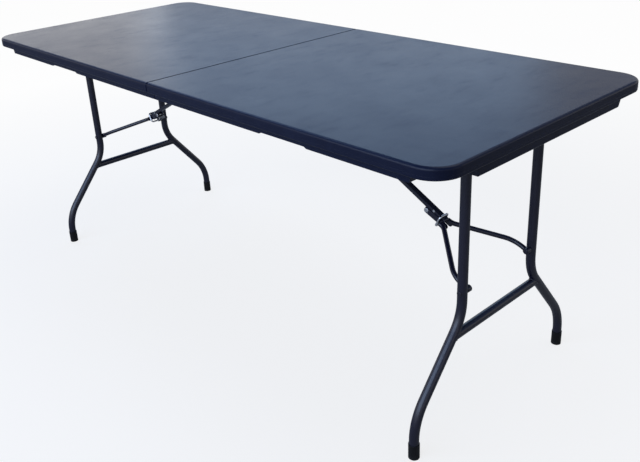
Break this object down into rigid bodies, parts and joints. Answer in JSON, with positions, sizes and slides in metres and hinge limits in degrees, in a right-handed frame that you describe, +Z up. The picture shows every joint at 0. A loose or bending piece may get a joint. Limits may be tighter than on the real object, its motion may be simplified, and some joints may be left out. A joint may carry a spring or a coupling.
{
  "type": "folding table",
  "caption": "Bi-fold moulded plastic table on folding wishbone steel legs with locking Y braces; the top folds in half at a centre hinge for carrying.",
  "frame": {"origin": "on the floor, under the middle of the open table", "axes": "+X along the length towards the near end, +Y towards the back long side, +Z up"},
  "size_m": [1.83, 0.76, 0.74],
  "materials": {
    "moulded_top": "satin",
    "painted_steel": "satin",
    "plated_steel": "satin",
    "foot_cap": "matte",
    "bush_nylon": "satin"
  },
  "bodies": {
    "near_half": {"near_top_panel": "moulded_top", "near_front_rail": "painted_steel", "near_back_rail": "painted_steel", "near_front_hinge_plate": "painted_steel", "near_back_hinge_plate": "painted_steel", "near_pivot_bushes": "bush_nylon", "near_rail_screws": "plated_steel", "near_strut_bracket": "painted_steel", "near_strut_pin": "plated_steel", "near_bracket_screws": "plated_steel", "hinge_pins": "plated_steel"},
    "near_legs": {"near_front_leg": "painted_steel", "near_back_leg": "painted_steel", "near_crossbar": "painted_steel", "near_pivot_tube": "painted_steel", "near_front_foot_cap": "foot_cap", "near_back_foot_cap": "foot_cap", "near_leg_rivets": "painted_steel"},
    "near_strut": {"near_strut": "painted_steel", "near_strut_rivet": "plated_steel"},
    "near_yoke": {"near_yoke_front_arm": "painted_steel", "near_yoke_back_arm": "painted_steel", "near_joint_rivet": "plated_steel", "near_yoke_rivets": "painted_steel"},
    "near_ring": {"near_lock_ring": "plated_steel"},
    "far_half": {"far_top_panel": "moulded_top", "far_front_rail": "painted_steel", "far_back_rail": "painted_steel", "far_front_hinge_plate": "painted_steel", "far_back_hinge_plate": "painted_steel", "far_pivot_bushes": "bush_nylon", "far_rail_screws": "plated_steel", "far_strut_bracket": "painted_steel", "far_strut_pin": "plated_steel", "far_bracket_screws": "plated_steel"},
    "far_legs": {"far_front_leg": "painted_steel", "far_back_leg": "painted_steel", "far_crossbar": "painted_steel", "far_pivot_tube": "painted_steel", "far_front_foot_cap": "foot_cap", "far_back_foot_cap": "foot_cap", "far_leg_rivets": "painted_steel"},
    "far_strut": {"far_strut": "painted_steel", "far_strut_rivet": "plated_steel"},
    "far_yoke": {"far_yoke_front_arm": "painted_steel", "far_yoke_back_arm": "painted_steel", "far_joint_rivet": "plated_steel", "far_yoke_rivets": "painted_steel"},
    "far_ring": {"far_lock_ring": "plated_steel"}
  },
  "joints": [
    {"name": "table_fold", "type": "hinge", "parent": "near_half", "child": "far_half", "pos_m": [0, 0, 0.6895], "axis": [0, -1, 0], "range_deg": [0, 90]},
    {"name": "near_leg_fold", "type": "hinge", "parent": "near_half", "child": "near_legs", "pos_m": [0.792, 0, 0.704], "axis": [0, 1, 0], "range_deg": [0, 90]},
    {"name": "near_strut_fold", "type": "hinge", "parent": "near_half", "child": "near_strut", "pos_m": [0.084, 0, 0.721], "axis": [0, -1, 0], "range_deg": [0, 27.9]},
    {"name": "near_yoke_fold", "type": "hinge", "parent": "near_strut", "child": "near_yoke", "pos_m": [0.58918, 0, 0.44108], "axis": [0, 1, 0], "range_deg": [0, 182.64]},
    {"name": "near_ring_slide", "type": "slide", "parent": "near_strut", "child": "near_ring", "axis": [-0.8838, 0, 0.4679], "range_m": [0, 0.442]},
    {"name": "far_leg_fold", "type": "hinge", "parent": "far_half", "child": "far_legs", "pos_m": [-0.792, 0, 0.704], "axis": [0, -1, 0], "range_deg": [0, 90]},
    {"name": "far_strut_fold", "type": "hinge", "parent": "far_half", "child": "far_strut", "pos_m": [-0.084, 0, 0.721], "axis": [0, 1, 0], "range_deg": [0, 27.9]},
    {"name": "far_yoke_fold", "type": "hinge", "parent": "far_strut", "child": "far_yoke", "pos_m": [-0.58918, 0, 0.44108], "axis": [0, -1, 0], "range_deg": [0, 182.64]},
    {"name": "far_ring_slide", "type": "slide", "parent": "far_strut", "child": "far_ring", "axis": [0.8838, 0, 0.4679], "range_m": [0, 0.442]}
  ],
  "couplings": [
    {"joint": "near_strut_fold", "follows": "near_leg_fold", "ratio": 0.31},
    {"joint": "near_yoke_fold", "follows": "near_leg_fold", "ratio": 2.0293},
    {"joint": "near_ring_slide", "follows": "near_leg_fold", "m_per_rad": 0.28138},
    {"joint": "far_strut_fold", "follows": "far_leg_fold", "ratio": 0.31},
    {"joint": "far_yoke_fold", "follows": "far_leg_fold", "ratio": 2.0293},
    {"joint": "far_ring_slide", "follows": "far_leg_fold", "m_per_rad": 0.28138}
  ]
}
